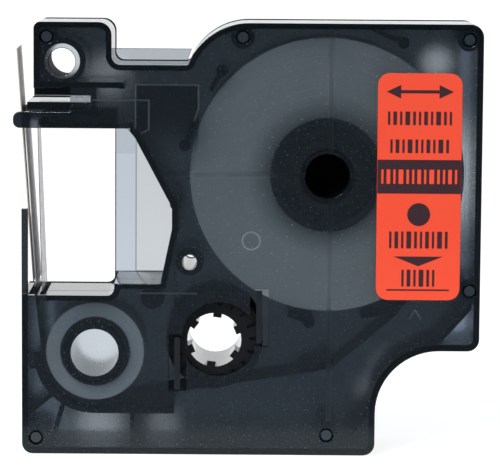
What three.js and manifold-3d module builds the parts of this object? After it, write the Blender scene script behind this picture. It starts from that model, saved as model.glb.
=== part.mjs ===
// Label tape cassette for a hand-held label printer, in millimetres, +Z up.
// It stands on its bottom edge, and its front face looks towards -Y. A smoke plastic front cover and rear
// shell hold a roll of label tape, a ribbon supply and a ribbon take-up spool, which all turn about Y.
import * as THREE from 'three';
import { mergeVertices } from 'three/addons/utils/BufferGeometryUtils.js';
import Module from 'manifold-3d';

const wasm = await Module();
wasm.setup();

// Driving dimensions of the shell
const HALF_DEPTH = 9.2;
const PLATE = 1.2;
const WALL = 1.0;
const GAP = 0.3;
const SEAM_Y = -3.0;
const FRONT = -HALF_DEPTH;
const REAR = HALF_DEPTH;
const FRONT_INNER = FRONT + PLATE;
const REAR_INNER = REAR - PLATE;
const RIB_FRONT = FRONT_INNER + GAP;
const OVERRUN = 0.6;
const RIGHT = 39.8;
const TOP = 74;
const BODY_LEFT = -38.4;
const LEDGE_Z = 27.4;
const FLOOR_Z = 29.5;
const WINDOW_RIGHT = -22.6;
const REAR_WINDOW_RIGHT = -23.3;
const ARM_BOTTOM = 56;
const ARM_TOP = 58.75;

// Axes of the three spools, as [x, z], and their radii
const ROLL = { at: [13.6, 48.1], core: 9.4, bore: 5.0, radius: 23.4, axle: 4.7, well: 3.8 };
const SUPPLY = { at: [-26.0, 17.4], post: 4.9, hole: 4.1, bore: 5.2, core: 5.75, radius: 8.4 };
const TAKEUP = { at: [-5.5, 19.7], bore: 5.1, teeth: 4.2, barrel: 5.8, radius: 6.6, flange: 8.3 };
const TAPE_HALF = 6.0;
const RIBBON_HALF = 6.1;
const SPOOL_HALF = 7.4;
const TAPE_THICK = 0.2;
const RIBBON_THICK = 0.1;

// Small features, as [x, z]
const PINS = [
  [-34.1, 71.5],
  [-0.9, 71.6],
  [37.4, 71.4],
  [38.0, 28.6],
  [-36.0, 2.8],
  [13.8, 3.5],
];
const PIN_R = 0.9;
const BOSS_R = 2.0;
const PLAIN_BOSS = [-16.1, 27.0];
const LOCATING_HOLE = [-31.5, 67.3];
const LOCATING_R = 2.3;
const LOCATING_SLEEVE_R = 3.0;
const GUIDE_POST = [-9.8, 33.2];
const RIB = 0.8;
const HEAD_R = 1.0;
const HEADED_RIBS = [
  { head: [-4.4, 65.9], tail: [-6.4, 62.5] },
  { head: [-10.7, 53.1], tail: [-9.2, 57.0] },
  { head: [26.3, 70.8], tail: [21.2, 73.0] },
  { head: [10.7, 22.9], tail: [7.0, 24.3] },
  { head: [24.4, 24.9], tail: [19.6, 23.9] },
  { head: [13.9, 16.0], tail: [9.1, 14.3] },
];
const STRUTS = [
  [[38.6, 26.0], [31.8, 18.4]],
  [[17.4, 2.6], [21.6, 8.4]],
  [[-37.8, 6.4], [-33.0, 10.4]],
  [[-33.7, 0.6], [-31.3, 8.9]],
  [[-19.5, 0.6], [-19.5, 7.2]],
  [[-37.8, 15.0], [-36.0, 15.0]],
];
const LABEL = { left: 22.0, right: 36.3, bottom: 27.0, top: 65.7, corner: 2.0 };
const LABEL_RECESS = { left: 21.6, right: 37.0, bottom: 26.3, top: 66.05, depth: 0.6 };
const HUB_OPENING = { at: [-4.7, 20.1], radius: 6.4 };
const ARM_WIDTH = 1.0;
const ARM_DEPTH = 0.9;
const CLICK_ARMS = {
  left: { x: -11.8, root: 11.3, tip: 20.3, slot: [-13.3, 11.0, -10.2, 20.8] },
  right: { x: 2.15, root: 28.4, tip: 19.3, slot: [0.6, 18.8, 3.8, 28.7] },
};

// Shallow marks in the front face, as centre lines of [x, z] points
const MARK_DEPTH = 0.12;
const FINE_MARK = 0.28;
const BAND = 0.9;
const FINE_MARKS = [
  [[-19.05, 56.0], [-19.05, 63.5], [-8.4, 63.5], [-8.4, 59.5], [-9.1, 57.4]],
  [[-26.4, 60.85], [-16.8, 60.85], [-16.8, 55.9], [-18.1, 55.2]],
  [[-18.7, 27.9], [-8.5, 27.9]],
  [[27.7, 23.7], [28.75, 25.3], [29.85, 23.7]],
];
const BANDS = [
  [[14.1, 5.8], [14.1, 73.0]],
  [[-13.9, 48.3], [21.6, 48.3]],
];
const GATE_MARK = { at: [0.7, 37.0], radius: 1.5 };

// Materials
const finish = (color, roughness) => new THREE.MeshStandardMaterial({ color, roughness, metalness: 0 });
const SMOKE = finish(0x24292d, 0.35);
const BLACK = finish(0x17191b, 0.45);
const TAPE = finish(0x96826f, 0.5);
const RIBBON = finish(0x4a4744, 0.35);
const STICKER = finish(0xfb4e2e, 0.4);

// Solids

function toSolid(geometry) {
  geometry.deleteAttribute('normal');
  geometry.deleteAttribute('uv');
  const merged = mergeVertices(geometry, 1e-4);
  const vertProperties = new Float32Array(merged.attributes.position.array);
  const triVerts = new Uint32Array(merged.index.array);
  const solid = new wasm.Manifold(new wasm.Mesh({ numProp: 3, vertProperties, triVerts }));
  if (solid.volume() > 0) {
    return solid;
  }
  const flipped = triVerts.map((_, i) => triVerts[i - (i % 3) + [0, 2, 1][i % 3]]);
  return new wasm.Manifold(new wasm.Mesh({ numProp: 3, vertProperties, triVerts: flipped }));
}

function toGeometry(solid) {
  const mesh = solid.getMesh();
  const geometry = new THREE.BufferGeometry();
  geometry.setAttribute('position', new THREE.BufferAttribute(mesh.vertProperties, 3));
  geometry.setIndex(new THREE.BufferAttribute(mesh.triVerts, 1));
  geometry.computeVertexNormals();
  return geometry;
}

// An outline drawn in x and z, run along Y from one depth to another
function prism(points, fromY, toY, holes = []) {
  const shape = new THREE.Shape(points);
  shape.holes = holes.map((hole) => new THREE.Path(hole));
  const geometry = new THREE.ExtrudeGeometry(shape, { depth: toY - fromY, bevelEnabled: false });
  geometry.rotateX(Math.PI / 2);
  geometry.translate(0, toY, 0);
  return toSolid(geometry);
}

const CORNER_STEP = 22;

const point = (x, z) => new THREE.Vector2(x, z);

function arc([x, z], radius, fromDeg, toDeg, steps) {
  const points = [];
  for (let i = 0; i <= steps; i += 1) {
    const angle = THREE.MathUtils.degToRad(fromDeg + ((toDeg - fromDeg) * i) / steps);
    points.push(point(x + radius * Math.cos(angle), z + radius * Math.sin(angle)));
  }
  return points;
}

const circle = (at, radius, steps) => arc(at, radius, 0, 360, steps).slice(0, -1);

const rectangle = (x0, z0, x1, z1) => [point(x0, z0), point(x1, z0), point(x1, z1), point(x0, z1)];

const box = (x0, z0, x1, z1, fromY = FRONT - 1, toY = REAR + 1) =>
  prism(rectangle(x0, z0, x1, z1), fromY, toY);

const disc = ([x, z], radius, fromY, toY, steps = 36) => prism(circle([x, z], radius, steps), fromY, toY);

const tube = (at, inner, outer, fromY, toY, steps = 36) =>
  prism(circle(at, outer, steps), fromY, toY, [circle(at, inner, steps)]);

// Corners as [x, z, radius]; a corner with a radius becomes an arc, with more steps on a large one
function rounded(corners) {
  const points = [];
  corners.forEach(([x, z, radius = 0], i) => {
    const here = point(x, z);
    if (radius === 0) {
      points.push(here);
      return;
    }
    const before = corners[(i + corners.length - 1) % corners.length];
    const after = corners[(i + 1) % corners.length];
    const back = point(before[0], before[1]).sub(here).normalize();
    const ahead = point(after[0], after[1]).sub(here).normalize();
    const half = Math.acos(back.dot(ahead)) / 2;
    const centre = here.clone().addScaledVector(back.clone().add(ahead).normalize(), radius / Math.sin(half));
    const start = here.clone().addScaledVector(back, radius / Math.tan(half)).sub(centre).angle();
    let turn = here.clone().addScaledVector(ahead, radius / Math.tan(half)).sub(centre).angle() - start;
    turn -= Math.round(turn / (2 * Math.PI)) * 2 * Math.PI;
    const spread = THREE.MathUtils.radToDeg(turn);
    const from = THREE.MathUtils.radToDeg(start);
    const steps = Math.ceil((Math.abs(spread) * Math.sqrt(radius)) / CORNER_STEP);
    points.push(...arc([centre.x, centre.y], radius, from, from + spread, steps));
  });
  return points;
}

// The path moved sideways by a distance, to the left of its direction of travel
function shifted(points, distance, closed) {
  const count = points.length;
  return points.map((here, i) => {
    const before = closed || i > 0 ? points[(i + count - 1) % count] : null;
    const after = closed || i < count - 1 ? points[(i + 1) % count] : null;
    const into = (before ? here.clone().sub(before) : after.clone().sub(here)).normalize();
    const out = (after ? after.clone().sub(here) : here.clone().sub(before)).normalize();
    const normal = point(-into.y - out.y, into.x + out.x).normalize();
    const stretch = normal.dot(point(-into.y, into.x));
    return here.clone().addScaledVector(normal, distance / stretch);
  });
}

// A wall or strip of constant thickness along an open path
function strip(points, thickness, fromY, toY) {
  const left = shifted(points, thickness / 2, false);
  const right = shifted(points, -thickness / 2, false).reverse();
  return prism([...left, ...right], fromY, toY);
}

const rib = (from, to, thickness = RIB) =>
  strip([point(...from), point(...to)], thickness, RIB_FRONT, REAR_INNER + OVERRUN);

// A profile of [radius, y] pairs turned about a spool's axis
function turned([x, z], profile, steps = 36) {
  const points = profile.map(([radius, y]) => point(radius, y));
  const onAxis = profile[0][0] === 0;
  const geometry = new THREE.LatheGeometry(onAxis ? points : [...points, points[0]], steps);
  geometry.translate(x, 0, z);
  return toSolid(geometry);
}

const join = (solids) => solids.reduce((whole, piece) => whole.add(piece));

// Outline of the body seen from the front, counter-clockwise

const WINDOW_EDGE = [
  [-14.75, FLOOR_Z],
  [-12.8, 38.9],
  [-12.8, 42.6],
  [-19.1, 54.4, 1.0],
  [-20.4, ARM_BOTTOM],
];

const RISE = { centre: [0.2, 62.9], radius: 11.1 };

const topEdge = [
  [RIGHT, TOP, 2.2],
  ...arc(RISE.centre, RISE.radius, 90, 158, 14).map((p) => [p.x, p.y]),
  [-10.6, 66.8],
  [-23.1, 66.8, 1.5],
  [-23.1, TOP, 2.2],
  [-36.3, TOP, 1.1],
];

const lowerEdge = [
  [BODY_LEFT, 0, 1.8],
  [22.1, 0, 2.0],
  [22.1, 18.2, 10.9],
  [RIGHT, 18.2, 2.0],
];

// The front cover is cut back to the diagonal wall beside the window and stops short of the cutter channel
const frontOutline = rounded([
  ...lowerEdge,
  ...topEdge,
  [-36.3, 62.8],
  [-30.1, 62.8],
  [-30.1, ARM_TOP],
  [-39.8, ARM_TOP, 1.1],
  [-39.8, ARM_BOTTOM, 1.1],
  ...[...WINDOW_EDGE].reverse(),
  [WINDOW_RIGHT, FLOOR_Z],
  [WINDOW_RIGHT, LEDGE_Z, 1.3],
  [BODY_LEFT, LEDGE_Z],
]);

// The rear floor runs on under the diagonal wall to the window, and keeps a plate across the top notch
const CHANNEL = { bottom: 60.35, top: 61.5, end: -26.7, left: -37.5 };
const rearOutline = rounded([
  ...lowerEdge,
  ...topEdge.slice(0, -3),
  [-9.9, 68.7],
  [-23.1, 68.7],
  ...topEdge.slice(-2),
  [-36.3, CHANNEL.top],
  [CHANNEL.end, CHANNEL.top],
  [CHANNEL.end, CHANNEL.bottom],
  [CHANNEL.left, CHANNEL.bottom],
  [CHANNEL.left, ARM_TOP],
  [-39.8, ARM_TOP, 1.1],
  [-39.8, ARM_BOTTOM, 1.1],
  [REAR_WINDOW_RIGHT, ARM_BOTTOM],
  [REAR_WINDOW_RIGHT, LEDGE_Z, 1.3],
  [BODY_LEFT, LEDGE_Z],
]);

// The side wall runs round the body without the arm, and is left out where tape and ribbon come out
const EXIT = { left: BODY_LEFT + WALL, right: -34.4 };
const GUARD = { top: 42.2, depth: 2.0 };
const wallOutline = rounded([
  ...lowerEdge,
  ...topEdge,
  [-36.3, 62.8],
  [-22.0, 62.8],
  ...[...WINDOW_EDGE].reverse(),
  [WINDOW_RIGHT, FLOOR_Z],
  [WINDOW_RIGHT, LEDGE_Z, 1.3],
  [BODY_LEFT, LEDGE_Z],
]);

function sideWall(fromY, toY, thickness = WALL) {
  return prism(wallOutline, fromY, toY, [shifted(wallOutline, thickness, true)])
    .subtract(box(-24.5, ARM_BOTTOM - 0.9, -20.0, 62.7).add(box(-24.5, ARM_BOTTOM + 0.9, -18.4, 62.7)))
    .subtract(box(EXIT.left, LEDGE_Z - WALL - 0.5, EXIT.right, LEDGE_Z + 1));
}

function frontCover() {
  const { well, axle } = ROLL;
  const bearing = [[0, -2.0], [well, -2.0], [well, FRONT], [axle, FRONT], [axle, -1.0], [0, -1.0]];
  let cover = join([
    prism(frontOutline, FRONT, FRONT_INNER),
    sideWall(FRONT_INNER - OVERRUN, SEAM_Y - GAP / 2),
    box(BODY_LEFT, LEDGE_Z - 2, EXIT.left, GUARD.top, FRONT, FRONT + GUARD.depth),
  ]);
  cover = cover.subtract(disc(ROLL.at, well + 0.4, FRONT - 1, FRONT_INNER + 1));
  cover = cover.add(turned(ROLL.at, bearing));
  const pinHoles = PINS.map((at) => disc(at, PIN_R + GAP, FRONT - 1, FRONT_INNER + 1, 24));
  const armSlots = Object.values(CLICK_ARMS).map((arm) => box(...arm.slot, FRONT - 1, FRONT_INNER + 1));
  const { left, right, bottom, top, depth } = LABEL_RECESS;
  const mark = (points, width) => strip(points.map((p) => point(...p)), width, FRONT - 1, FRONT + MARK_DEPTH);
  const ringHalf = FINE_MARK / 2;
  const { at: gate, radius } = GATE_MARK;
  const cuts = [
    disc(HUB_OPENING.at, HUB_OPENING.radius, FRONT - 1, FRONT_INNER + 1, 36),
    disc(LOCATING_HOLE, LOCATING_R, FRONT - 1, FRONT_INNER + 1),
    disc(GUIDE_POST, 1.3, FRONT - 1, FRONT_INNER + 1, 24),
    box(left, bottom, right, top, FRONT - 1, FRONT + depth),
    tube(gate, radius - ringHalf, radius + ringHalf, FRONT - 1, FRONT + MARK_DEPTH),
    ...FINE_MARKS.map((points) => mark(points, FINE_MARK)),
    ...BANDS.map((points) => mark(points, BAND)),
    ...pinHoles,
    ...armSlots,
  ];
  return cover.subtract(join(cuts));
}

// A curved wall guides the tape round the ribbon supply
function supplyWall() {
  const radius = 10.0;
  const [x, z] = SUPPLY.at;
  const path = [...arc(SUPPLY.at, radius, 180, 270, 18), point(-12.8, z - radius)];
  return strip(path, WALL, RIB_FRONT, REAR_INNER + OVERRUN)
    .add(disc([-12.8, z - radius], WALL / 2, RIB_FRONT, REAR_INNER + OVERRUN, 18));
}

// The arm carries the ribbon past the print head: a low rib with a round nose, and a wall above it
function armWalls() {
  return join([
    rib([-34.7, 56.4], [-19.6, 56.4]),
    disc([-34.7, 56.85], 0.85, RIB_FRONT, REAR_INNER + OVERRUN, 24),
    box(CHANNEL.left, ARM_TOP + 0.35, CHANNEL.end + WALL, CHANNEL.bottom, RIB_FRONT, REAR_INNER + OVERRUN),
    box(-36.3, CHANNEL.top, CHANNEL.end + WALL, 63.4, RIB_FRONT, REAR_INNER + OVERRUN),
    box(CHANNEL.end, ARM_TOP + 0.35, CHANNEL.end + WALL, 63.4, RIB_FRONT, REAR_INNER + OVERRUN),
  ]);
}

function rearShell() {
  const bottomOfRibs = REAR_INNER + OVERRUN;
  const bearing = [[0, -0.6], [ROLL.axle, -0.6], [ROLL.axle, REAR], [3.6, REAR], [3.6, 0.4], [0, 0.4]];
  const inside = join([
    ...[...PINS, PLAIN_BOSS].map((at) => disc(at, BOSS_R, RIB_FRONT, bottomOfRibs, 30)),
    ...HEADED_RIBS.map(({ head, tail }) => rib(head, tail)),
    ...HEADED_RIBS.map(({ head }) => disc(head, HEAD_R, RIB_FRONT, bottomOfRibs, 24)),
    ...STRUTS.map(([from, to]) => rib(from, to)),
    supplyWall(),
    armWalls(),
    rib([-35.65, 25.6], [-35.72, 28.8], 0.5),
    tube(SUPPLY.at, SUPPLY.hole, SUPPLY.post, RIB_FRONT, REAR),
    tube(GUIDE_POST, 1.3, 2.4, RIB_FRONT, REAR, 24),
    tube(LOCATING_HOLE, LOCATING_SLEEVE_R, LOCATING_SLEEVE_R + WALL, RIB_FRONT, REAR),
    disc([-12.2, 43.0], HEAD_R, RIB_FRONT, bottomOfRibs, 24),
  ])
    .intersect(prism(frontOutline, FRONT, REAR).add(prism(rearOutline, FRONT, REAR)))
    .subtract(sideWall(FRONT, SEAM_Y + GAP / 2, WALL + GAP));
  const floorStep = box(REAR_WINDOW_RIGHT, FLOOR_Z, -19.6, 50.4, REAR_INNER - 0.3, REAR_INNER + OVERRUN);
  const plate = prism(rearOutline, REAR_INNER, REAR).add(floorStep).subtract(join([
    disc(TAKEUP.at, TAKEUP.bore + 1.2, FRONT, REAR + 1, 36),
    disc(SUPPLY.at, SUPPLY.hole, FRONT, REAR + 1),
    disc(GUIDE_POST, 1.3, FRONT, REAR + 1, 24),
    disc(LOCATING_HOLE, LOCATING_SLEEVE_R, FRONT, REAR + 1),
    disc(ROLL.at, ROLL.well + 0.2, FRONT, REAR + 1),
  ]));
  return join([
    plate,
    sideWall(SEAM_Y + GAP / 2, bottomOfRibs),
    inside,
    turned(ROLL.at, bearing),
    ...PINS.map((at) => disc(at, PIN_R, FRONT + 0.2, RIB_FRONT + 0.5, 24)),
  ]);
}

// Spools

const ring = (inner, outer, half) => [[inner, -half], [outer, -half], [outer, half], [inner, half]];

function tapeCore() {
  const rim = ROLL.core - 1.0;
  const sleeve = ROLL.bore + 0.9;
  const half = TAPE_HALF + 0.6;
  const web = 0.8;
  return turned(ROLL.at, [
    [ROLL.bore, -half], [sleeve, -half], [sleeve, -web], [rim, -web], [rim, -half], [ROLL.core, -half],
    [ROLL.core, half], [rim, half], [rim, web], [sleeve, web], [sleeve, half], [ROLL.bore, half],
  ]);
}

function takeupSpool() {
  const { at, bore, teeth, barrel, flange } = TAKEUP;
  const [x, z] = at;
  const flangeInner = RIBBON_HALF + 0.4;
  const flangeOuter = SPOOL_HALF + 0.2;
  const body = turned(at, [
    [bore, -flangeOuter], [flange, -flangeOuter], [flange, -flangeInner], [barrel, -flangeInner],
    [barrel, flangeInner], [flange, flangeInner], [flange, flangeOuter], [barrel, flangeOuter],
    [barrel, REAR - 0.2], [bore, REAR - 0.2],
  ]);
  const toothCount = 6;
  const toothFirstDeg = 83;
  const toothHalf = 0.8;
  const toothFront = -flangeOuter + 0.6;
  const toothBack = toothFront + 5.4;
  const inside = [];
  for (let i = 0; i < toothCount; i += 1) {
    const tooth = prism(rectangle(teeth, -toothHalf, bore + 0.3, toothHalf), toothFront, toothBack);
    inside.push(tooth.rotate([0, -(toothFirstDeg + (360 / toothCount) * i), 0]).translate([x, 0, z]));
  }
  const notchCount = 18;
  const notchDepth = 0.6;
  const notchFirstDeg = 2;
  const root = { x: barrel + 0.2, half: 0.25 };
  const mouth = { x: flange + 1, half: 0.55 };
  const wedge = [
    point(root.x, -root.half),
    point(mouth.x, -mouth.half),
    point(mouth.x, mouth.half),
    point(root.x, root.half),
  ];
  const notches = [];
  for (let i = 0; i < notchCount; i += 1) {
    const notch = prism(wedge, -flangeOuter - 1, -flangeOuter + notchDepth);
    notches.push(notch.rotate([0, -(notchFirstDeg + (360 / notchCount) * i), 0]).translate([x, 0, z]));
  }
  return body.add(join(inside)).subtract(join(notches));
}

// A springy finger in the cover whose nose drops into the notches of the take-up flange
function clickArm({ x, root, tip }) {
  const up = Math.sign(tip - root);
  const half = ARM_WIDTH / 2;
  const round = tip - up * half;
  const outline = up > 0
    ? [point(x - half, root), point(x + half, root), ...arc([x, round], half, 0, 180, 8)]
    : [point(x + half, root), point(x - half, root), ...arc([x, round], half, 180, 360, 8)];
  return prism(outline, FRONT, FRONT + ARM_DEPTH)
    .add(disc([x, round], half - 0.1, FRONT + ARM_DEPTH - 0.2, FRONT + ARM_DEPTH + 0.35, 12));
}

// Tape and ribbon, as centre lines seen from the front

const EXIT_TAPE = point(-36.4, 28.6);
const EXIT_RIBBON = point(-35.15, 28.4);
const TAPE_LEAN = -0.068;
const TAPE_END = { x: -36.75, bottom: 29.4, top: 69.3 };
const WINDOW_RUN = { x: -36.2, bottom: 29.1, top: 57.6 };
const TAPE_SKEW = 0.3;
const RIBBON_SKEW = 0.45;

const tapeInside = [
  ...arc(ROLL.at, ROLL.radius + 0.45, -34, -37.6, 1),
  ...arc(HEADED_RIBS[4].head, 1.45, -36, -48, 2),
  ...arc(HEADED_RIBS[5].head, 1.45, -48, -81, 3),
  ...arc(SUPPLY.at, 9.05, -81.3, -173, 12),
  EXIT_TAPE,
];

const leaning = ({ x, bottom, top }) => [point(x, bottom), point(x + TAPE_LEAN * (top - bottom), top)];

const ribbonFeed = [
  ...arc(SUPPLY.at, 8.7, -150, -176, 3),
  EXIT_RIBBON,
  point(-36.05, 56.2),
  ...arc([-34.7, 56.85], 1.3, 180, 90, 4),
  point(-30.5, 58.15),
];

const ribbonReturn = [
  point(-30.1, 58.15),
  point(-19.6, 57.9),
  point(-18.0, 56.6),
  ...arc([-12.2, 43.0], 1.45, 28, 0, 3),
  ...arc(GUIDE_POST, 2.85, 168, 184, 2),
  ...arc(TAKEUP.at, TAKEUP.radius + 0.4, 174, 190, 2),
];

const tape = (path) => strip(path, TAPE_THICK, -TAPE_HALF, TAPE_HALF);

const ribbon = (path) => strip(path, RIBBON_THICK, -RIBBON_HALF, RIBBON_HALF);

// Turns the part above a height, so that its rear edge lies further left than its front edge
const skewed = (solid, amount, aboveZ) => solid.warp((vertex) => {
  if (vertex[2] > aboveZ) {
    vertex[0] -= (amount * vertex[1]) / (2 * TAPE_HALF);
  }
});

function sticker() {
  const { left, right, bottom, top, corner } = LABEL;
  const outline = rounded([
    [left, bottom, corner],
    [right, bottom, corner],
    [right, top, corner],
    [left, top, corner],
  ]);
  return prism(outline, FRONT + 0.1, FRONT + LABEL_RECESS.depth - GAP);
}

// The whole object

const group = new THREE.Group();

function place(name, solid, material) {
  const mesh = new THREE.Mesh(toGeometry(solid), material);
  mesh.name = name;
  group.add(mesh);
}

place('front_cover', frontCover(), SMOKE);
place('rear_shell', rearShell(), SMOKE);
place('label_sticker', sticker(), STICKER);
place('left_click_arm', clickArm(CLICK_ARMS.left), SMOKE);
place('right_click_arm', clickArm(CLICK_ARMS.right), SMOKE);
place('tape_core', tapeCore(), BLACK);
place('tape_roll', turned(ROLL.at, ring(ROLL.core + GAP, ROLL.radius, TAPE_HALF), 56), TAPE);
place('tape_inner_run', tape(tapeInside), TAPE);
place('tape_window_run', tape(leaning(WINDOW_RUN)), TAPE);
place('tape_free_end', skewed(tape(leaning(TAPE_END)), TAPE_SKEW, 0), TAPE);
place('ribbon_supply_core', turned(SUPPLY.at, ring(SUPPLY.bore, SUPPLY.core, SPOOL_HALF)), BLACK);
place('ribbon_supply_roll', turned(SUPPLY.at, ring(SUPPLY.core + 0.25, SUPPLY.radius, RIBBON_HALF)), RIBBON);
place('ribbon_feed_run', skewed(ribbon(ribbonFeed), RIBBON_SKEW, ARM_BOTTOM), RIBBON);
place('ribbon_return_run', ribbon(ribbonReturn), RIBBON);
place('takeup_spool', takeupSpool(), BLACK);
place('takeup_winding', turned(TAKEUP.at, ring(TAKEUP.barrel + 0.25, TAKEUP.radius, RIBBON_HALF)), RIBBON);

export default group;
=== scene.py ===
"""Looks for the label tape cassette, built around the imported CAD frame. Lengths are in metres.

The cassette stands on its bottom edge and its front face looks towards -Y. The shells, arms and take-up
spool are bevelled copies of their CAD solids, the rolls and cores are turned afresh with rounded edges,
and every surface gets its own node material.
"""

import math

import bmesh
import bpy
from mathutils import Matrix, Vector


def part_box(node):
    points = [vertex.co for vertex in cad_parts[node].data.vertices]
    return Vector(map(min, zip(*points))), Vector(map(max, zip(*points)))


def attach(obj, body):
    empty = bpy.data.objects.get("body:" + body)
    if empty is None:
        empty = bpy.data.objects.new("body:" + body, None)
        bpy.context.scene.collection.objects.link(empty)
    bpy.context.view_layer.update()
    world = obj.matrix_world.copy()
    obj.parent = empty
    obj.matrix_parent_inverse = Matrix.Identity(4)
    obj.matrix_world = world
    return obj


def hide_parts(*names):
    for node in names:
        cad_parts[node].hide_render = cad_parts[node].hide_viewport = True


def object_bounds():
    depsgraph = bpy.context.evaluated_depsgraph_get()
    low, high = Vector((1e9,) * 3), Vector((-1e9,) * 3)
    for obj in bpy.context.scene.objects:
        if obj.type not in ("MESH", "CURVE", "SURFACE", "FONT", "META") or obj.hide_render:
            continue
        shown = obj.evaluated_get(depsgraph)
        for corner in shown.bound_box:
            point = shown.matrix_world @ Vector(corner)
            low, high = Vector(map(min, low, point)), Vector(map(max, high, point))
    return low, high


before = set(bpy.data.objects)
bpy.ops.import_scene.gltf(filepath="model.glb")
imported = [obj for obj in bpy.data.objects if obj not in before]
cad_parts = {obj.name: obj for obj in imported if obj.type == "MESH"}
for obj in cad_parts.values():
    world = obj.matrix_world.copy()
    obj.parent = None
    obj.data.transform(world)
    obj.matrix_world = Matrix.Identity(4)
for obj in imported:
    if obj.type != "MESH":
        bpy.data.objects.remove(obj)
cad_low, cad_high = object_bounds()

MM = 0.001
FRONT = cad_low.y
REAR = cad_high.y

# Places in the shell that the masks in the rear plate's material follow, as x and z
WINDOW_EDGE_X = -23.3 * MM
STEP_X = -19.6 * MM
STEP_Z = 50.4 * MM
FLOOR_Z = 29.5 * MM
ARM_BOTTOM_Z = 56.0 * MM
NOTCH_Z = 66.4 * MM
NOTCH_X = (-23.6 * MM, -9.5 * MM)
RIGHT_CORNER_Z = (17.0 * MM, 28.0 * MM)
RIGHT_EDGE_X = 36.9 * MM
RIGHT_EDGE_Z = (30.5 * MM, 69.0 * MM)
LEFT_EDGE_X = -34.0 * MM
LEFT_EDGE_Z = (1.0 * MM, 24.5 * MM)
LOW_CORNER_X = -31.5 * MM
LOW_CORNER_Z = 9.0 * MM

# Slanting edges there, each as the x weight, z weight and level of a half plane
WINDOW_UPPER_EDGE = (-0.882, -0.471, -9.2 * MM)
WINDOW_LOWER_EDGE = (-0.979, 0.203, 20.0 * MM)
RIGHT_CORNER_EDGE = (1, -0.895, 15.33 * MM)

# Places that the masks in the front plate's material follow
PANEL_X = (-19.0 * MM, -8.4 * MM)
PANEL_LOW_Z = 54.5 * MM
PANEL_TOP_Z = 63.5 * MM
PANEL_FADE = 2.5 * MM
ARM_RIGHT_X = -22.0 * MM
ARM_TIP_X = -36.9 * MM
ARM_Z = (55.5 * MM, 59.5 * MM)
GUARD_X = -37.3 * MM
GUARD_Z = (27.5 * MM, 42.3 * MM)

# Marks sunk in the front face, and the middles of the two crossing bands among them
MARK_DEPTH = 0.12 * MM
BAND_X = 14.1 * MM
BAND_Z = 48.3 * MM
BAND_HALF = 0.45 * MM
GATE_MARK = Vector((0.7 * MM, 0.0, 37.0 * MM))
LOCATING_HOLE = Vector((-31.5 * MM, 0.0, 67.3 * MM))
LOCATING_RADIUS = 2.3 * MM
SLEEVE_RADIUS = 3.0 * MM
WELL_RADIUS = 3.9 * MM
POST_BORE_RADIUS = 4.2 * MM

# Faces of the plates lie further from the middle plane than this
PLATE_FACES_Y = 7.0 * MM

# A face looks along Y when its normal's Y part is over FACING, and sideways when under SIDEWAYS
FACING = 0.7
SIDEWAYS = 0.5
SMOOTH_BELOW_DEG = 32

# Half the width of the step at the edge of a mask
SOFT = 0.15 * MM
CRISP = 0.03 * MM


def axis_of(node):
    """The point where a round node's axis crosses the plane y = 0."""
    low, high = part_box(node)
    return Vector(((low.x + high.x) / 2, 0.0, (low.z + high.z) / 2))


def radius_of(node):
    low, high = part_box(node)
    return (high.x - low.x) / 2


# ---------------------------------------------------------------- materials


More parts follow.
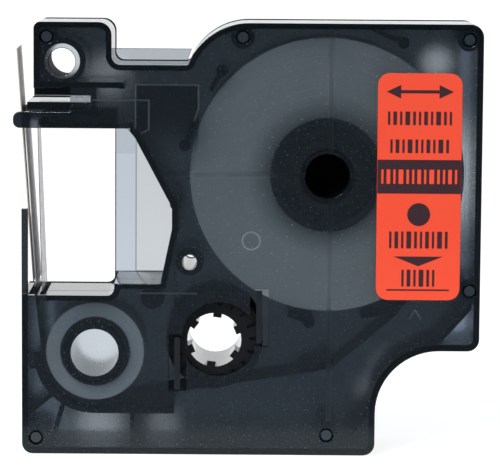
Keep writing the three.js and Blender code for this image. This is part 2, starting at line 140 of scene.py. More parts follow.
class Surface:
    """A Principled material with short calls for the nodes that feed it."""

    def __init__(self, name, roughness, ior=1.5, **constants):
        self.material = bpy.data.materials.new(name)
        self.material.use_nodes = True
        self.tree = self.material.node_tree
        self.shader = self.tree.nodes["Principled BSDF"]
        self.coordinates = self.tree.nodes.new("ShaderNodeTexCoord").outputs["Object"]
        self.shader.inputs["Roughness"].default_value = roughness
        self.shader.inputs["IOR"].default_value = ior
        for socket, value in constants.items():
            self.shader.inputs[socket.replace("_", " ")].default_value = value

    def node(self, kind, inputs=(), **settings):
        made = self.tree.nodes.new(kind)
        for key, value in settings.items():
            setattr(made, key, value)
        for key, value in dict(inputs).items():
            self.feed(made.inputs[key], value)
        return made

    def feed(self, socket, value):
        if isinstance(value, bpy.types.NodeSocket):
            self.tree.links.new(value, socket)
        else:
            socket.default_value = value

    def math(self, operation, first, second=0.0):
        return self.node("ShaderNodeMath", {0: first, 1: second}, operation=operation).outputs[0]

    def vector(self, operation, *inputs):
        made = self.node("ShaderNodeVectorMath", enumerate(inputs), operation=operation)
        return made.outputs

    def noise(self, size, detail=3.0, where=None):
        """Smooth noise, 0 to 1, whose blobs are about that size in metres."""
        inputs = {"Vector": where or self.coordinates, "Scale": 1.0 / size, "Detail": detail}
        return self.node("ShaderNodeTexNoise", inputs).outputs["Fac"]

    def spread(self, value, low, high, out_low, out_high):
        inputs = {"Value": value, 1: low, 2: high, 3: out_low, 4: out_high}
        return self.node("ShaderNodeMapRange", inputs).outputs["Result"]

    def blend(self, share, first, second):
        made = self.node("ShaderNodeMix", data_type="RGBA")
        self.feed(made.inputs[0], share)
        for socket, colour in ((made.inputs[6], first), (made.inputs[7], second)):
            self.feed(socket, colour if isinstance(colour, bpy.types.NodeSocket) else (*colour, 1.0))
        return made.outputs[2]

    def along(self, axis):
        return self.node("ShaderNodeSeparateXYZ", {0: self.coordinates}).outputs[axis]

    def side_of(self, x_weight, z_weight, level, softness=SOFT):
        """1 where x_weight * x + z_weight * z lies above the level, and 0 below it."""
        weighed = self.math("ADD", self.math("MULTIPLY", self.along(0), x_weight),
                            self.math("MULTIPLY", self.along(2), z_weight))
        return self.spread(weighed, level - softness, level + softness, 0.0, 1.0)

    def region(self, *sides):
        """1 inside all the half planes, each (x_weight, z_weight, level) and maybe a softness."""
        inside = self.side_of(*sides[0])
        for side in sides[1:]:
            inside = self.math("MULTIPLY", inside, self.side_of(*side))
        return inside

    def beside(self, axis, level, half):
        """1 further than half from the plane where that coordinate equals the level, and 0 nearer."""
        away = self.math("ABSOLUTE", self.math("SUBTRACT", self.along(axis), level))
        return self.spread(away, half - CRISP, half + CRISP, 0.0, 1.0)

    def distance_from(self, centre):
        """Distance from the line along Y through the centre."""
        offset = self.vector("SUBTRACT", self.coordinates, centre)[0]
        flat = self.vector("MULTIPLY", offset, (1.0, 0.0, 1.0))[0]
        return self.vector("LENGTH", flat)["Value"]

    def rings(self, centre, width, detail=2.0):
        """Noise that changes only with the distance from an axis, like the edges of wound layers."""
        radius = self.distance_from(centre)
        where = self.node("ShaderNodeCombineXYZ", {0: radius, 1: 0.0, 2: 0.0}).outputs[0]
        return self.noise(width, detail, where)

    def colour(self, value):
        self.feed(self.shader.inputs["Base Color"], value)
        return self

    def grain(self, height, depth, strength=0.3):
        made = self.node("ShaderNodeBump", {"Height": height, "Strength": strength, "Distance": depth})
        self.tree.links.new(made.outputs["Normal"], self.shader.inputs["Normal"])
        return self

    def uneven_gloss(self, size, low, high):
        self.feed(self.shader.inputs["Roughness"], self.spread(self.noise(size), 0.3, 0.7, low, high))
        return self


def between(low, high):
    """The two half planes with z over the low level and under the high one."""
    return (0, 1, low), (0, -1, -high)


COOL = (0.76, 0.91, 1.0, 1.0)
FRONT_TINT = (0.53, 0.575, 0.61)
FRONT_TINT_DEEP = (0.50, 0.545, 0.58)
PANEL_TINT = (0.16, 0.18, 0.20)
ARM_TINT = (0.10, 0.12, 0.15)
ARM_TIP_TINT = (0.010, 0.014, 0.022)
GUARD_TINT = (0.020, 0.024, 0.028)


def smoke_front(name, smooth, rough, relief):
    """Thin smoke plastic: light passes once through it at about half strength."""
    surface = Surface(name, smooth, 1.42, Transmission_Weight=1.0, Specular_IOR_Level=0.1,
                      Specular_Tint=COOL)
    tint = surface.blend(surface.noise(6 * MM), FRONT_TINT, FRONT_TINT_DEEP)
    panel = surface.region((1, 0, PANEL_X[0]), (-1, 0, -PANEL_X[1]), (0, -1, -PANEL_TOP_Z),
                           (0, 1, PANEL_LOW_Z, PANEL_FADE))
    arm = surface.region((-1, 0, -ARM_RIGHT_X), *between(*ARM_Z))
    tip = surface.region((-1, 0, -ARM_TIP_X), *between(*ARM_Z))
    guard = surface.region((-1, 0, -GUARD_X), *between(*GUARD_Z))
    for mask, shade in ((panel, PANEL_TINT), (arm, ARM_TINT), (guard, GUARD_TINT), (tip, ARM_TIP_TINT)):
        tint = surface.blend(mask, tint, shade)
    surface.colour(tint)
    surface.uneven_gloss(0.5 * MM, smooth, rough)
    return surface.grain(surface.noise(0.22 * MM, 2.0), 0.01 * MM, relief).material


def sunk_mark():
    """Rough bottom of the fine marks, which scatters a little light."""
    surface = Surface("sunk_mark", 0.6, 1.42, Transmission_Weight=0.86, Specular_Tint=COOL)
    # Painted highlight: the marks round the gate turn near white, as where a glint catches them
    painted_gate_glint = surface.spread(surface.distance_from(GATE_MARK), 2.5 * MM, 3.0 * MM, 1.0, 0.0)
    tone = surface.blend(surface.noise(1 * MM), (0.34, 0.37, 0.40), (0.42, 0.45, 0.48))
    surface.colour(surface.blend(painted_gate_glint, tone, (0.95, 0.96, 0.97)))
    return surface.grain(surface.noise(0.15 * MM, 2.0), 0.01 * MM).material


def sunk_band():
    """Bottom of the two broad bands: a little darker than the plate, with a painted highlight line on
    each edge.
    """
    surface = Surface("sunk_band", 0.3, 1.42, Transmission_Weight=0.995, Specular_IOR_Level=0.1,
                      Specular_Tint=COOL)
    edge_half = BAND_HALF - 0.13 * MM
    # Painted highlight: a light line along each edge of the bands, where the rim would catch light
    edge = surface.math("MULTIPLY", surface.beside(0, BAND_X, edge_half),
                        surface.beside(2, BAND_Z, edge_half))
    middle = surface.blend(surface.noise(3 * MM), (0.34, 0.37, 0.40), (0.38, 0.41, 0.44))
    surface.colour(surface.blend(edge, middle, (0.72, 0.76, 0.80)))
    return surface.grain(surface.noise(0.2 * MM, 2.0), 0.01 * MM).material


REAR_TINT = (0.021, 0.026, 0.031)
WINDOW_TINT = (0.55, 0.575, 0.60)
STEP_TINT = (0.50, 0.55, 0.61)
STEP_TOP_TINT = (0.44, 0.48, 0.535)
SEAM_TINT = (0.30, 0.32, 0.35)
EDGE_TINT = (0.13, 0.15, 0.19)
NOTCH_TINT = (0.41, 0.44, 0.48)
CORNER_TINT = (0.26, 0.31, 0.39)
LOW_CORNER_TINT = (0.09, 0.11, 0.135)

# Painted highlights: soft lighter spots in the rear plate's tint where glints of light fall, as x, z
# and radius in millimetres, and how far the tint turns light
PAINTED_GLINTS = (
    (-24.6, 64.0, 6.5, 0.24),
    (33.0, 66.6, 4.6, 0.42),
    (-26.0, 1.4, 7.5, 0.42),
    (-14.6, 2.2, 5.0, 0.20),
    (25.7, 12.6, 6.0, 0.12),
    (22.4, 8.8, 5.0, 0.12),
    (29.4, 15.4, 5.0, 0.10),
    (38.6, 47.0, 15.0, 0.62),
)


def smoke_rear():
    """The rear plate: nearly black, and clear only in the window, across the notch and in corners."""
    surface = Surface("smoke_rear", 0.14, 1.47, Transmission_Weight=1.0, Specular_IOR_Level=0.2,
                      Specular_Tint=COOL)
    window_height = between(FLOOR_Z, ARM_BOTTOM_Z)
    left_of_step = (-1, 0, -STEP_X)
    seam_half = 0.12 * MM
    edge_width = 0.25 * MM
    window = surface.region(*window_height, WINDOW_UPPER_EDGE, WINDOW_LOWER_EDGE)
    step = surface.region(*window_height, left_of_step)
    step_top = surface.region(*between(STEP_Z, ARM_BOTTOM_Z), left_of_step)
    seam = surface.region(*window_height, (1, 0, STEP_X - seam_half, CRISP),
                          (-1, 0, -STEP_X - seam_half, CRISP))
    window_edge = surface.region(*window_height, (-1, 0, -WINDOW_EDGE_X - edge_width, CRISP))
    notch = surface.region((0, 1, NOTCH_Z), (1, 0, NOTCH_X[0]), (-1, 0, -NOTCH_X[1]))
    right_corner = surface.region(RIGHT_CORNER_EDGE, *between(*RIGHT_CORNER_Z))
    right_edge = surface.region((1, 0, RIGHT_EDGE_X), *between(*RIGHT_EDGE_Z))
    left_edge = surface.region((-1, 0, -LEFT_EDGE_X), *between(*LEFT_EDGE_Z))
    low_corner = surface.region((-1, 0, -LOW_CORNER_X), (0, -1, -LOW_CORNER_Z))
    tint = REAR_TINT
    for mask, shade in (
        (window, WINDOW_TINT),
        (step, STEP_TINT),
        (step_top, STEP_TOP_TINT),
        (seam, SEAM_TINT),
        (window_edge, SEAM_TINT),
        (notch, NOTCH_TINT),
        (right_corner, CORNER_TINT),
        (right_edge, EDGE_TINT),
        (left_edge, LOW_CORNER_TINT),
        (low_corner, LOW_CORNER_TINT),
    ):
        tint = surface.blend(mask, tint, shade)
    # Painted highlights: soft lighter spots blended in where glints of light fall on the plate
    for x, z, radius, share in PAINTED_GLINTS:
        away = surface.distance_from(Vector((x * MM, 0.0, z * MM)))
        painted_glint = surface.node("ShaderNodeMapRange", {"Value": away, 2: radius * MM, 3: share, 4: 0.0},
                            interpolation_type="SMOOTHERSTEP").outputs["Result"]
        tint = surface.blend(painted_glint, tint, (0.93, 0.97, 1.0))
    surface.colour(tint)
    surface.uneven_gloss(0.5 * MM, 0.10, 0.17)
    return surface.grain(surface.noise(0.25 * MM, 2.0), 0.01 * MM, 0.3).material


def smoke_wall():
    """The same plastic seen edge on, where it is thick enough to look black."""
    surface = Surface("smoke_wall", 0.2, 1.45, Specular_IOR_Level=0.2, Specular_Tint=COOL)
    surface.colour(surface.blend(surface.noise(3 * MM), (0.003, 0.004, 0.005), (0.006, 0.008, 0.010)))
    surface.uneven_gloss(0.6 * MM, 0.18, 0.28)
    return surface.grain(surface.noise(0.3 * MM, 2.0), 0.008 * MM).material


def polished(name, low, high):
    """Smoothly moulded faces that mirror whatever they are seen against."""
    surface = Surface(name, 0.1, 1.5)
    surface.colour(surface.blend(surface.noise(3 * MM), low, high))
    surface.uneven_gloss(1.5 * MM, 0.08, 0.15)
    return surface.grain(surface.noise(1.2 * MM, 2.0), 0.004 * MM, 0.2).material


def far_rim():
    """The matt strip along the back of the upper faces."""
    surface = Surface("far_rim", 0.9, 1.3, Specular_IOR_Level=0.1)
    surface.colour(surface.blend(surface.noise(3 * MM), (0.006, 0.007, 0.008), (0.012, 0.013, 0.014)))
    return surface.grain(surface.noise(0.3 * MM, 2.0), 0.008 * MM).material


def pin_tip():
    """Ends of the joining pins, a little paler than the bosses round them."""
    surface = Surface("pin_tip", 0.25, 1.5, Specular_Tint=COOL)
    surface.colour(surface.blend(surface.noise(1 * MM), (0.014, 0.019, 0.027), (0.024, 0.031, 0.042)))
    return surface.grain(surface.noise(0.25 * MM, 2.0), 0.01 * MM).material


def well_dark():
    """The bottom of the blind centre hole, which hardly any light reaches."""
    surface = Surface("well_dark", 0.6, 1.3, Specular_IOR_Level=0.1)
    surface.colour(surface.blend(surface.noise(2 * MM), (0.001, 0.001, 0.0015), (0.003, 0.003, 0.004)))
    return surface.grain(surface.noise(0.3 * MM, 2.0), 0.01 * MM).material


def smoke_arm():
    surface = Surface("smoke_arm", 0.2, 1.4)
    surface.colour(surface.blend(surface.noise(2 * MM), (0.007, 0.009, 0.012), (0.014, 0.018, 0.023)))
    surface.uneven_gloss(0.4 * MM, 0.15, 0.25)
    return surface.grain(surface.noise(0.25 * MM, 2.0), 0.006 * MM).material


def black_moulding(name, low, high):
    """Black injection-moulded plastic with a fine, slightly uneven satin skin."""
    surface = Surface(name, 0.35, 1.4, Specular_IOR_Level=0.3)
    surface.colour(surface.blend(surface.noise(2 * MM), (0.004, 0.004, 0.005), (0.010, 0.011, 0.012)))
    surface.uneven_gloss(0.5 * MM, low, high)
    return surface.grain(surface.noise(0.25 * MM, 2.0), 0.006 * MM, 0.2).material


def wound_tape():
    """Layer edges of the tape roll, in beige rings of slightly different tone, with painted shade
    darkening them towards the core.
    """
    surface = Surface("wound_tape", 0.5, 1.45)
    centre = axis_of("tape_roll")
    tone = surface.blend(surface.rings(centre, 0.35 * MM), (0.53, 0.53, 0.50), (0.70, 0.70, 0.68))
    patches = surface.spread(surface.noise(7 * MM), 0.35, 0.65, 0.0, 0.35)
    tone = surface.blend(patches, tone, (0.58, 0.59, 0.58))
    shade_ends = 13.8 * MM
    # Painted shade: the roll darkens from the core's radius out to shade_ends
    inner = surface.spread(surface.distance_from(centre), radius_of("tape_core"), shade_ends, 0.8, 0.0)
    surface.colour(surface.blend(inner, tone, (0.04, 0.045, 0.05)))
    surface.uneven_gloss(1 * MM, 0.42, 0.6)
    return surface.grain(surface.rings(centre, 0.2 * MM, 1.0), 0.02 * MM, 0.5).material


def wound_ribbon(name, node, dark, light):
    surface = Surface(name, 0.35, 1.5)
    centre = axis_of(node)
    surface.colour(surface.blend(surface.rings(centre, 0.2 * MM), dark, light))
    surface.uneven_gloss(0.8 * MM, 0.28, 0.42)
    return surface.grain(surface.rings(centre, 0.12 * MM, 1.0), 0.015 * MM, 0.4).material


def label_tape(name, dark, light):
    """Laminated tape with faint streaks along its length."""
    surface = Surface(name, 0.38, 1.48)
    streaks = surface.vector("MULTIPLY", surface.coordinates, (1.0, 1.0, 0.08))[0]
    fibres = surface.noise(0.4 * MM, 3.0, streaks)
    surface.colour(surface.blend(fibres, dark, light))
    surface.uneven_gloss(1 * MM, 0.3, 0.45)
    return surface.grain(fibres, 0.01 * MM).material


def ink_ribbon():
    surface = Surface("ink_ribbon", 0.22, 1.55)
    surface.colour(surface.blend(surface.noise(1.5 * MM), (0.006, 0.006, 0.008), (0.014, 0.014, 0.017)))
    surface.uneven_gloss(1.2 * MM, 0.16, 0.3)
    return surface.grain(surface.noise(2.5 * MM, 1.0), 0.05 * MM).material


def sticker_paper():
    """Orange-red label stock with a fine printed grain and a light satin varnish."""
    surface = Surface("sticker_paper", 0.42, 1.45)
    grain = surface.noise(0.16 * MM, 2.0)
    tone = surface.blend(grain, (0.97, 0.062, 0.018), (1.0, 0.095, 0.040))
    faded = surface.spread(surface.noise(9 * MM), 0.3, 0.7, 0.0, 0.25)
    surface.colour(surface.blend(faded, tone, (1.0, 0.11, 0.055)))
    surface.uneven_gloss(0.5 * MM, 0.38, 0.5)
    return surface.grain(grain, 0.006 * MM).material


def sticker_ink():
    surface = Surface("sticker_ink", 0.45, 1.45)
    patches = surface.noise(0.2 * MM, 2.0)
    surface.colour(surface.blend(patches, (0.022, 0.008, 0.012), (0.055, 0.016, 0.022)))
    return surface.uneven_gloss(0.3 * MM, 0.4, 0.55).material


# ---------------------------------------------------------------- pieces


def shown(name, mesh, materials, body, slot, *replaced):
    """Puts a mesh in the scene as a piece that rides on a body and stands for CAD nodes."""
    piece = bpy.data.objects.new(name, mesh)
    bpy.context.scene.collection.objects.link(piece)
    for material in materials:
        mesh.materials.append(material)
    mesh.shade_smooth()
    mesh.set_sharp_from_angle(angle=math.radians(SMOOTH_BELOW_DEG))
    for face in mesh.polygons:
        face.use_smooth = abs(face.normal.y) < 0.999
    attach(piece, body)
    if replaced:
        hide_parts(*replaced)
    return piece


def depth_of(face):
    heights = [vertex.co.y for vertex in face.verts]
    return max(heights) - min(heights)


def sharp(edge, degrees=40):
    return len(edge.link_faces) == 2 and edge.calc_face_angle(0.0) > math.radians(degrees)


def rim_edge(edge, at_y, least_depth):
    """True for a sharp edge in the plane y = at_y whose wall face runs at least that deep."""
    if not sharp(edge) or any(abs(vertex.co.y - at_y) > 0.02 * MM for vertex in edge.verts):
        return False
    return max(depth_of(face) for face in edge.link_faces) >= least_depth


def bevelled_copy(node, chosen, width, segments=2):
    """A copy of a CAD node's mesh with its flat faces joined up and the chosen edges rounded."""
    shape = bmesh.new()
    shape.from_mesh(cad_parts[node].data)
    bmesh.ops.remove_doubles(shape, verts=shape.verts, dist=0.002 * MM)
    flat = math.radians(0.6)
    bmesh.ops.dissolve_limit(shape, angle_limit=flat, verts=shape.verts, edges=shape.edges)
    edges = [edge for edge in shape.edges if chosen(edge)]
    bmesh.ops.bevel(shape, geom=edges, offset=width, segments=segments, profile=0.5, affect="EDGES",
                    clamp_overlap=True, miter_outer="ARC")
    mesh = bpy.data.meshes.new(node + "_look")
    return shape, mesh


def finished(shape, mesh, material_of=None):
    """Writes the shape to its mesh, with a material number for each face."""
    shape.normal_update()
    if material_of:
        for face in shape.faces:
            face.material_index = material_of(face)
    shape.to_mesh(mesh)
    shape.free()
    return mesh


def even_shading(piece):
    piece.modifiers.new("even_normals", "WEIGHTED_NORMAL").keep_sharp = True
    return piece


def rounded_loop(corners, radius, steps=3):
    """A closed outline with every corner replaced by a small curve."""
    points = []
    for i, here in enumerate(corners):
        back = corners[i - 1] - here
        ahead = corners[(i + 1) % len(corners)] - here
        cut = min(radius, back.length / 2.2, ahead.length / 2.2)
        start = here + back.normalized() * cut
        end = here + ahead.normalized() * cut
        for k in range(steps + 1):
            t = k / steps
            points.append(start * (1 - t) ** 2 + here * (2 * t * (1 - t)) + end * t ** 2)
    return points


def turned(name, centre, profile, steps=120):
    """A closed profile of (radius, y) points turned about a spool's axis."""
    shape = bmesh.new()
    loops = []
    for i in range(steps):
        angle = 2 * math.pi * i / steps
        out = Vector((math.cos(angle), 0.0, math.sin(angle)))
        loops.append([shape.verts.new(centre + out * p.x + Vector((0.0, p.y, 0.0))) for p in profile])
    count = len(profile)
    for i in range(steps):
        here, after = loops[i], loops[(i + 1) % steps]
        for k in range(count):
            shape.faces.new((here[k], here[(k + 1) % count], after[(k + 1) % count], after[k]))
    bmesh.ops.recalc_face_normals(shape, faces=shape.faces)
    return finished(shape, bpy.data.meshes.new(name + "_look"))


def wound_profile(inner, outer, half, layers, unevenness):
    """Section of a roll whose layers don't all end at quite the same height."""
    side = []
    for k in range(layers + 1):
        radius = inner + (outer - inner) * k / layers
        stray = 0.5 + 0.5 * math.sin(k * 2.13) * math.cos(k * 0.71)
        side.append(Vector((radius, half - unevenness * stray)))
    return side + [Vector((p.x, -p.y)) for p in reversed(side)]


def off_axis(place, axis):
    """Distance of a place from an axis that runs along Y."""
    return math.hypot(place.x - axis.x, place.z - axis.z)


def is_lit_top(face, place):
    """True for upward outside faces of the upper part, and the right side of the top left block."""
    lowest, block_right, block_bottom, least_depth = 26 * MM, -20 * MM, 65 * MM, 0.5 * MM
    upward = face.normal.z > 0.5 and place.z > lowest
    block_side = face.normal.x > 0.5 and place.x < block_right and place.z > block_bottom
    return (upward or block_side) and depth_of(face) > least_depth


RIM_BEVEL = 0.16 * MM


def front_shell():
    """Faces of the plate are clear smoke, the centre hole is black and every wall is dark."""
    plate, wall, well, frost, mark, band, top = range(7)
    centre = axis_of("tape_core")

    def material_of(face):
        middle = face.calc_center_median()
        if off_axis(middle, centre) < WELL_RADIUS and middle.y > FRONT + 0.3 * MM:
            return well
        beside_hole = off_axis(middle, LOCATING_HOLE) < LOCATING_RADIUS + 0.05 * MM
        if beside_hole and abs(face.normal.y) < SIDEWAYS:
            return well
        if face.normal.y > FACING and middle.y < -PLATE_FACES_Y:
            return frost
        if face.normal.y < -FACING and middle.y < -PLATE_FACES_Y:
            if abs(middle.y - FRONT - MARK_DEPTH) > 0.01 * MM:
                return plate
            return band if min(abs(middle.x - BAND_X), abs(middle.z - BAND_Z)) < BAND_HALF else mark
        return top if is_lit_top(face, middle) else wall

    shape, mesh = bevelled_copy("front_cover", lambda edge: rim_edge(edge, FRONT, 1.0 * MM), RIM_BEVEL)
    finished(shape, mesh, material_of)
    materials = [smoke_front("smoke_front", 0.09, 0.14, 0.15), WALL, WELL,
                 smoke_front("smoke_frost", 0.22, 0.28, 0.08), sunk_mark(), sunk_band(), TOP]
    piece = shown("front_shell", mesh, materials, "shell", "smoke_plastic", "front_cover")
    return even_shading(piece)


def back_shell():
    """The rear plate has its own smoke, and its posts, pins and upper faces differ from the walls."""
    plate, wall, well, top, bore, pin, rim = range(7)
    supply = axis_of("ribbon_supply_core")
    rim_starts = (REAR - 2.2 * MM, REAR - 5.5 * MM)
    high_up = 60 * MM

    def material_of(face):
        middle = face.calc_center_median()
        if abs(face.normal.y) > FACING:
            if middle.y > PLATE_FACES_Y:
                return plate
            return pin if middle.y < FRONT + 0.4 * MM else wall
        if off_axis(middle, LOCATING_HOLE) < SLEEVE_RADIUS + 0.05 * MM:
            return well
        if off_axis(middle, supply) < POST_BORE_RADIUS:
            return bore
        if is_lit_top(face, middle):
            return rim if middle.y > rim_starts[middle.z > high_up] else top
        return wall

    shape, mesh = bevelled_copy("rear_shell", lambda edge: rim_edge(edge, REAR, 1.0 * MM), RIM_BEVEL)
    for start in rim_starts:
        bmesh.ops.bisect_plane(shape, geom=shape.verts[:] + shape.edges[:] + shape.faces[:],
                               plane_co=(0.0, start, 0.0), plane_no=(0.0, 1.0, 0.0))
    finished(shape, mesh, material_of)
    materials = [smoke_rear(), WALL, WELL, TOP, BORE, pin_tip(), far_rim()]
    piece = shown("back_shell", mesh, materials, "shell", "smoke_plastic", "rear_shell")
    return even_shading(piece)


def click_arm(side):
    node = f"{side}_click_arm"
    shape, mesh = bevelled_copy(node, sharp, 0.14 * MM, 3)
    finished(shape, mesh)
    piece = shown(f"{side}_arm_look", mesh, [ARM], f"{side}_arm", "smoke_plastic", node)
    return even_shading(piece)


def core_look(node, wall, body):
    """A spool core: a tube with rounded rims, at the CAD core's radius and length."""
    low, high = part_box(node)
    outer = radius_of(node)
    inner = outer - wall
    corners = [Vector(p) for p in ((inner, low.y), (outer, low.y), (outer, high.y), (inner, high.y))]
    mesh = turned(node, axis_of(node), rounded_loop(corners, 0.15 * MM))
    return shown(f"{node}_look", mesh, [BLACK], body, "black_plastic", node)


def tape_core_look():
    """The tape core has a rim, a sleeve and a thin web between them."""
    node = "tape_core"
    low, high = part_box(node)
    outer = radius_of(node)
    rim, sleeve, bore, web = outer - 1.0 * MM, 5.9 * MM, 5.0 * MM, 0.8 * MM
    corners = [
        (bore, low.y), (sleeve, low.y), (sleeve, -web), (rim, -web), (rim, low.y), (outer, low.y),
        (outer, high.y), (rim, high.y), (rim, web), (sleeve, web), (sleeve, high.y), (bore, high.y),
    ]
    mesh = turned(node, axis_of(node), rounded_loop([Vector(p) for p in corners], 0.18 * MM))
    return shown("tape_core_look", mesh, [BLACK], "tape_spool", "black_plastic", node)


def roll_look(node, inner, layers, unevenness, material, body, slot):
    low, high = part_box(node)
    profile = wound_profile(inner, radius_of(node), (high.y - low.y) / 2, layers, unevenness)
    mesh = turned(node, axis_of(node), profile)
    return shown(f"{node}_look", mesh, [material], body, slot, node)


def takeup_look():
    """The spool with its toothed bore drawn in a little, so the wall round it is thicker."""
    centre = axis_of("takeup_spool")
    bore_squeeze, squeezed_within, bore_wall_within = 0.91, 5.5 * MM, 5.3 * MM

    def material_of(face):
        in_bore = off_axis(face.calc_center_median(), centre) < bore_wall_within
        return int(in_bore and abs(face.normal.y) < SIDEWAYS)

    shape, mesh = bevelled_copy("takeup_spool", sharp, 0.06 * MM, 2)
    for vertex in shape.verts:
        if off_axis(vertex.co, centre) < squeezed_within:
            vertex.co.x = centre.x + (vertex.co.x - centre.x) * bore_squeeze
            vertex.co.z = centre.z + (vertex.co.z - centre.z) * bore_squeeze
    finished(shape, mesh, material_of)
    piece = shown("takeup_look", mesh, [HUB, BORE], "ribbon_takeup", "black_plastic", "takeup_spool")
    return even_shading(piece)


def flat_shape(shape, outline, front_y, back_y):
    """Adds a thin closed plate with an outline of (x, z) points."""
    front = [shape.verts.new((x, front_y, z)) for x, z in outline]
    back = [shape.verts.new((x, back_y, z)) for x, z in outline]
    shape.faces.new(front)
    shape.faces.new(list(reversed(back)))
    for k, vertex in enumerate(front):
        after = (k + 1) % len(front)
        shape.faces.new((vertex, back[k], back[after], front[after]))


def block(x, z, width, height, corner=0.12):
    """Outline of a rounded rectangle centred on (x, z), in millimetres."""
    half_w, half_h = width / 2, height / 2
    corners = [Vector(p) for p in ((x - half_w, z - half_h), (x + half_w, z - half_h),
                                   (x + half_w, z + half_h), (x - half_w, z + half_h))]
    return [(p.x * MM, p.y * MM) for p in rounded_loop(corners, corner)]


def row_of_bars(middle, z, height, width):
    """Upright bars of a few widths, standing for a line of print that can't be read."""
    bars = (0.38, 0.62, 0.38, 0.80, 0.45)
    gap = 0.52
    outlines = []
    x = 0.0
    while x + bars[len(outlines) % len(bars)] <= width:
        bar = bars[len(outlines) % len(bars)]
        outlines.append((x + bar / 2, bar))
        x += bar + gap
    start = middle - (x - gap) / 2
    return [block(start + at, z, bar, height) for at, bar in outlines]


def sticker_look():
    shape, mesh = bevelled_copy("label_sticker", sharp, 0.05 * MM, 2)
    finished(shape, mesh)
    piece = shown("sticker_look", mesh, [sticker_paper()], "shell", "sticker_print", "label_sticker")
    return even_shading(piece)


def sticker_print():
    """Generic marks in the sticker's layout: arrow, bars for print, a banded row, dot and triangle."""
    low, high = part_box("label_sticker")
    middle = (low.x + high.x) / 2 / MM
    width = (high.x - low.x) / MM
    arrow_z, head, head_half, reach, shaft = 62.6, 2.4, 1.15, width / 2 - 1.5, 0.26
    band_z, dot_z, dot_r = 48.15, 41.7, 1.95
    arrow = [
        (middle - reach, arrow_z), (middle - reach + head, arrow_z - head_half),
        (middle - reach + head, arrow_z - shaft), (middle + reach - head, arrow_z - shaft),
        (middle + reach - head, arrow_z - head_half), (middle + reach, arrow_z),
        (middle + reach - head, arrow_z + head_half), (middle + reach - head, arrow_z + shaft),
        (middle - reach + head, arrow_z + shaft), (middle - reach + head, arrow_z + head_half),
    ]
    triangle = [(middle - 4.15, 34.5), (middle, 32.85), (middle + 4.15, 34.5)]
    turns = [2 * math.pi * t / 48 for t in range(48)]
    dot = [(middle + dot_r * math.cos(turn), dot_z + dot_r * math.sin(turn)) for turn in turns]
    outlines = [[(x * MM, z * MM) for x, z in points] for points in (arrow, triangle, dot)]
    outlines += row_of_bars(middle, 58.1, 2.3, 11.3)
    outlines += row_of_bars(middle, 53.35, 2.3, 10.0)
    outlines.append(block(middle, band_z, width - 0.1, 5.75, 0.1))
    outlines += row_of_bars(middle, 37.35, 2.9, 10.3)
    outlines += row_of_bars(middle, 30.8, 2.9, 6.3)
    outlines.append(block(middle, 28.75, 10.7, 0.25, 0.1))
    shape = bmesh.new()
    for outline in outlines:
        flat_shape(shape, outline, low.y - 0.03 * MM, low.y + 0.05 * MM)
    bmesh.ops.recalc_face_normals(shape, faces=shape.faces)
    mesh = finished(shape, bpy.data.meshes.new("sticker_marks"))
    shown("sticker_marks", mesh, [sticker_ink()], "shell", "sticker_print")
    light = bmesh.new()
    for outline in row_of_bars(middle, band_z, 2.45, 12.9):
        flat_shape(light, outline, low.y - 0.05 * MM, low.y + 0.04 * MM)
    bmesh.ops.recalc_face_normals(light, faces=light.faces)
    mesh = finished(light, bpy.data.meshes.new("sticker_band_marks"))
    shown("sticker_band_marks", mesh, [bpy.data.materials["sticker_paper"]], "shell", "sticker_print")


WALL = smoke_wall()
WELL = well_dark()
TOP = polished("polished_top", (0.02, 0.024, 0.028), (0.03, 0.034, 0.04))
BORE = polished("polished_bore", (0.02, 0.021, 0.023), (0.04, 0.042, 0.045))
ARM = smoke_arm()
BLACK = black_moulding("black_core", 0.5, 0.65)
HUB = black_moulding("black_hub", 0.2, 0.34)

front_shell()
back_shell()
click_arm("left")
click_arm("right")
tape_core_look()
roll_look("tape_roll", radius_of("tape_core") + 0.3 * MM, 46, 0.05 * MM, wound_tape(),
          "tape_spool", "label_tape")
core_look("ribbon_supply_core", 0.55 * MM, "ribbon_supply")
supply_ribbon = wound_ribbon("supply_ribbon", "ribbon_supply_roll",
                             (0.66, 0.68, 0.70), (0.82, 0.84, 0.87))
roll_look("ribbon_supply_roll", radius_of("ribbon_supply_core") + 0.25 * MM, 16, 0.04 * MM,
          supply_ribbon, "ribbon_supply", "ink_ribbon")
used_ribbon = wound_ribbon("used_ribbon", "takeup_winding", (0.02, 0.02, 0.022), (0.05, 0.05, 0.055))
roll_look("takeup_winding", 6.05 * MM, 6, 0.03 * MM, used_ribbon, "ribbon_takeup", "ink_ribbon")
takeup_look()
sticker_look()
sticker_print()

TAUPE = label_tape("label_tape", (0.27, 0.215, 0.155), (0.36, 0.295, 0.225))
# Painted light: a lighter copy of the tape for the free end's edge faces, which would otherwise lie in
# shade
PAINTED_LIGHT_RIM = label_tape("tape_rim_painted_light", (0.42, 0.35, 0.27), (0.52, 0.44, 0.35))
BACKING = label_tape("tape_backing", (0.80, 0.79, 0.76), (0.90, 0.89, 0.86))
SHADED = label_tape("shaded_tape", (0.020, 0.017, 0.014), (0.032, 0.027, 0.022))
RIBBON = ink_ribbon()
for node, face_material, rim_material in (
    ("tape_inner_run", SHADED, SHADED),
    ("tape_window_run", BACKING, BACKING),
    ("tape_free_end", TAUPE, PAINTED_LIGHT_RIM),
    ("ribbon_feed_run", RIBBON, RIBBON),
    ("ribbon_return_run", RIBBON, RIBBON),
):
    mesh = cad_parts[node].data
    mesh.materials.clear()
    mesh.materials.append(face_material)
    mesh.materials.append(rim_material)
    for face in mesh.polygons:
        face.material_index = int(abs(face.normal.y) > FACING)


# ---------------------------------------------------------------- stage, light and camera


# Where the floor in front of the object changes from dim to bright, along Y
NEAR_EDGE = (-0.038, -0.030)


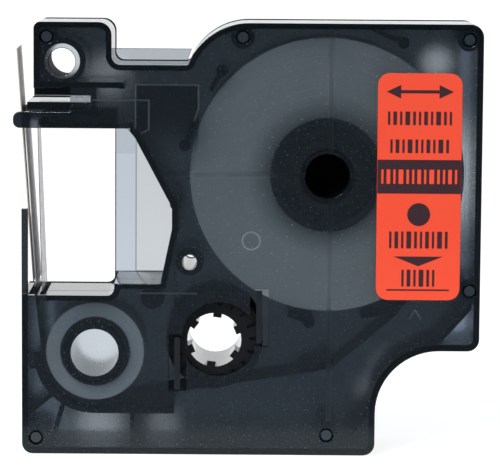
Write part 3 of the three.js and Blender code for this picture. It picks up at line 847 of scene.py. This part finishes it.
def stage_material():
    """Matt white paper that glows, more beside and behind the object than in front of it."""
    surface = Surface("stage_paper", 0.9, 1.3)
    paper = surface.blend(surface.noise(40 * MM), (0.29, 0.29, 0.29), (0.27, 0.27, 0.27))
    depth = surface.along(1)
    behind = surface.spread(depth, *NEAR_EDGE, 0.0, 1.0)
    surface.colour(surface.blend(behind, (0.24, 0.27, 0.30), paper))
    near_glow = surface.spread(depth, *NEAR_EDGE, 0.05, 0.86)
    glow = surface.math("ADD", near_glow, surface.spread(depth, 0.05, 0.5, 0.0, -0.15))
    surface.shader.inputs["Emission Color"].default_value = (1.0, 1.0, 1.0, 1.0)
    surface.feed(surface.shader.inputs["Emission Strength"], glow)
    return surface.material


# A hair below the object, so that the two surfaces don't lie in one plane
FLOOR = -0.05 * MM


def studio_bowl():
    """A round floor that sweeps up into a wall on every side."""
    floor_radius, sweep, sweep_steps, wall_top = 1.8, 0.6, 12, 1.1
    profile = [(0.02, FLOOR), (0.3, FLOOR), (floor_radius, FLOOR)]
    for k in range(1, sweep_steps + 1):
        angle = math.radians(90 * k / sweep_steps)
        profile.append((floor_radius + sweep * math.sin(angle), FLOOR + sweep * (1 - math.cos(angle))))
    profile.append((floor_radius + sweep, wall_top))
    steps = 64
    shape = bmesh.new()
    hub = shape.verts.new((0, 0, FLOOR))
    loops = []
    for i in range(steps):
        angle = 2 * math.pi * i / steps
        across, along = math.cos(angle), math.sin(angle)
        loops.append([shape.verts.new((r * across, r * along, z)) for r, z in profile])
    for i in range(steps):
        here, after = loops[i], loops[(i + 1) % steps]
        shape.faces.new((hub, here[0], after[0]))
        for k in range(len(profile) - 1):
            shape.faces.new((here[k], here[k + 1], after[k + 1], after[k]))
    mesh = finished(shape, bpy.data.meshes.new("studio_floor"))
    mesh.materials.append(stage_material())
    mesh.shade_smooth()
    bowl = bpy.data.objects.new("studio_floor", mesh)
    bpy.context.scene.collection.objects.link(bowl)


def world_light(colour):
    world = bpy.data.worlds.new("studio_world")
    world.use_nodes = True
    background = world.node_tree.nodes["Background"]
    background.inputs["Color"].default_value = (*colour, 1.0)
    background.inputs["Strength"].default_value = 1.0
    bpy.context.scene.world = world


def look_towards(direction):
    return Vector(direction).to_track_quat("-Z", "Y").to_matrix().to_4x4()


def sun(name, direction, strength, angle_deg):
    lamp = bpy.data.lights.new(name, "SUN")
    lamp.energy = strength
    lamp.angle = math.radians(angle_deg)
    light = bpy.data.objects.new(name, lamp)
    light.matrix_world = look_towards(direction)
    bpy.context.scene.collection.objects.link(light)


CAMERA_X = 0.5 * MM
CAMERA_BACK = 480 * MM
CAMERA_HEIGHT = 94 * MM
AIM_HEIGHT = 37.5 * MM
CAMERA_ROLL_DEG = 0.4
LENS = 204.5
SENSOR = 36.0


def camera():
    data = bpy.data.cameras.new("camera")
    data.sensor_width = SENSOR
    data.lens = LENS
    data.clip_start = 0.01
    data.clip_end = 50
    made = bpy.data.objects.new("camera", data)
    place = Vector((CAMERA_X, FRONT - CAMERA_BACK, CAMERA_HEIGHT))
    forward = Vector((0.0, CAMERA_BACK, AIM_HEIGHT - CAMERA_HEIGHT))
    roll = Matrix.Rotation(math.radians(CAMERA_ROLL_DEG), 4, "Z")
    made.matrix_world = Matrix.Translation(place) @ look_towards(forward) @ roll
    bpy.context.scene.collection.objects.link(made)
    bpy.context.scene.camera = made


studio_bowl()
world_light((0.42, 0.47, 0.52))
sun("key_light", (0.5, 0.62, -0.75), 3.2, 36)
camera()

bpy.context.scene.view_settings.view_transform = "Standard"
